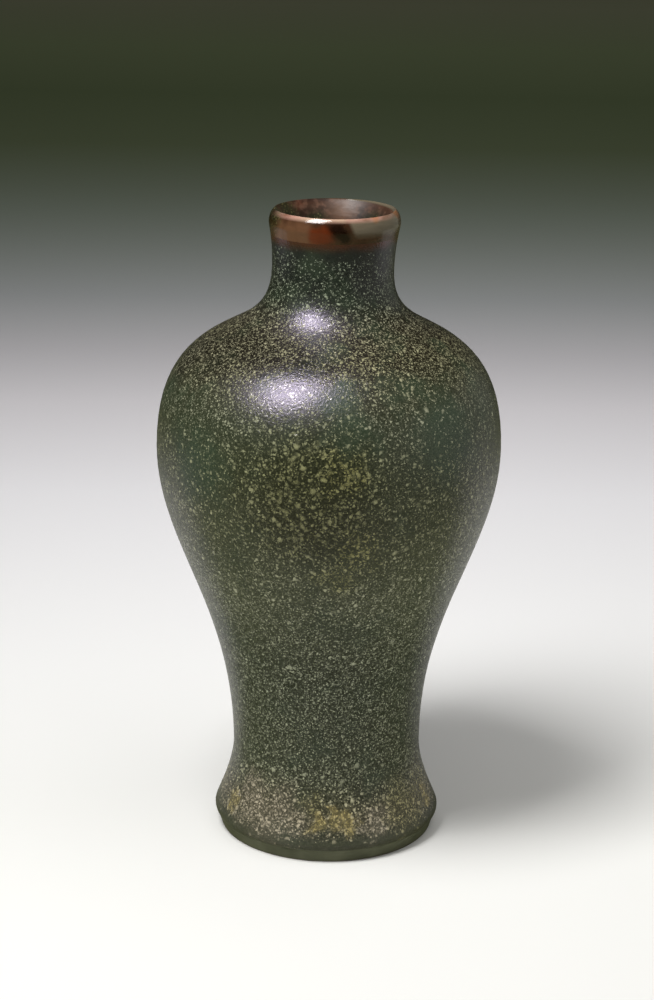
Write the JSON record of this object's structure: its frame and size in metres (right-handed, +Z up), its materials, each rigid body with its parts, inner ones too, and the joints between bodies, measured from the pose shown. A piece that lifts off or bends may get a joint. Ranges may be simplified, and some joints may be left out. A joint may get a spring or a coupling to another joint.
{
  "type": "vase",
  "caption": "Small stoneware baluster vase with a spreading foot, full shoulder and short flared neck, in speckled green tea-dust glaze with a glossy brown lip.",
  "frame": {"origin": "middle of the resting face of the foot ring, on the table", "axes": "+Z up along the axis of the vase, out of the mouth; -Y is the side that the picture shows"},
  "size_m": [0.0745, 0.0744, 0.14],
  "materials": {
    "stoneware_clay": "bare fired stoneware, matt and slightly gritty",
    "joining_slip": "fired slip, matt",
    "tea_dust_glaze": "satin, dark green with fine yellow-green crystals",
    "brown_lip_glaze": "glossy red-brown, thin and orange along its edges",
    "dark_foot_wash": "thin smooth satin wash, dark olive",
    "inner_glaze": "glossy dark olive brown"
  },
  "bodies": {
    "root": {"foot_section": "stoneware_clay", "lower_body": "stoneware_clay", "upper_body": "stoneware_clay", "neck_section": "stoneware_clay", "waist_slip_seam": "joining_slip", "belly_slip_seam": "joining_slip", "neck_slip_seam": "joining_slip", "outer_glaze": "tea_dust_glaze", "lip_glaze": "brown_lip_glaze", "foot_wash": "dark_foot_wash", "inner_glaze": "inner_glaze", "base_glaze": "tea_dust_glaze"}
  },
  "joints": []
}
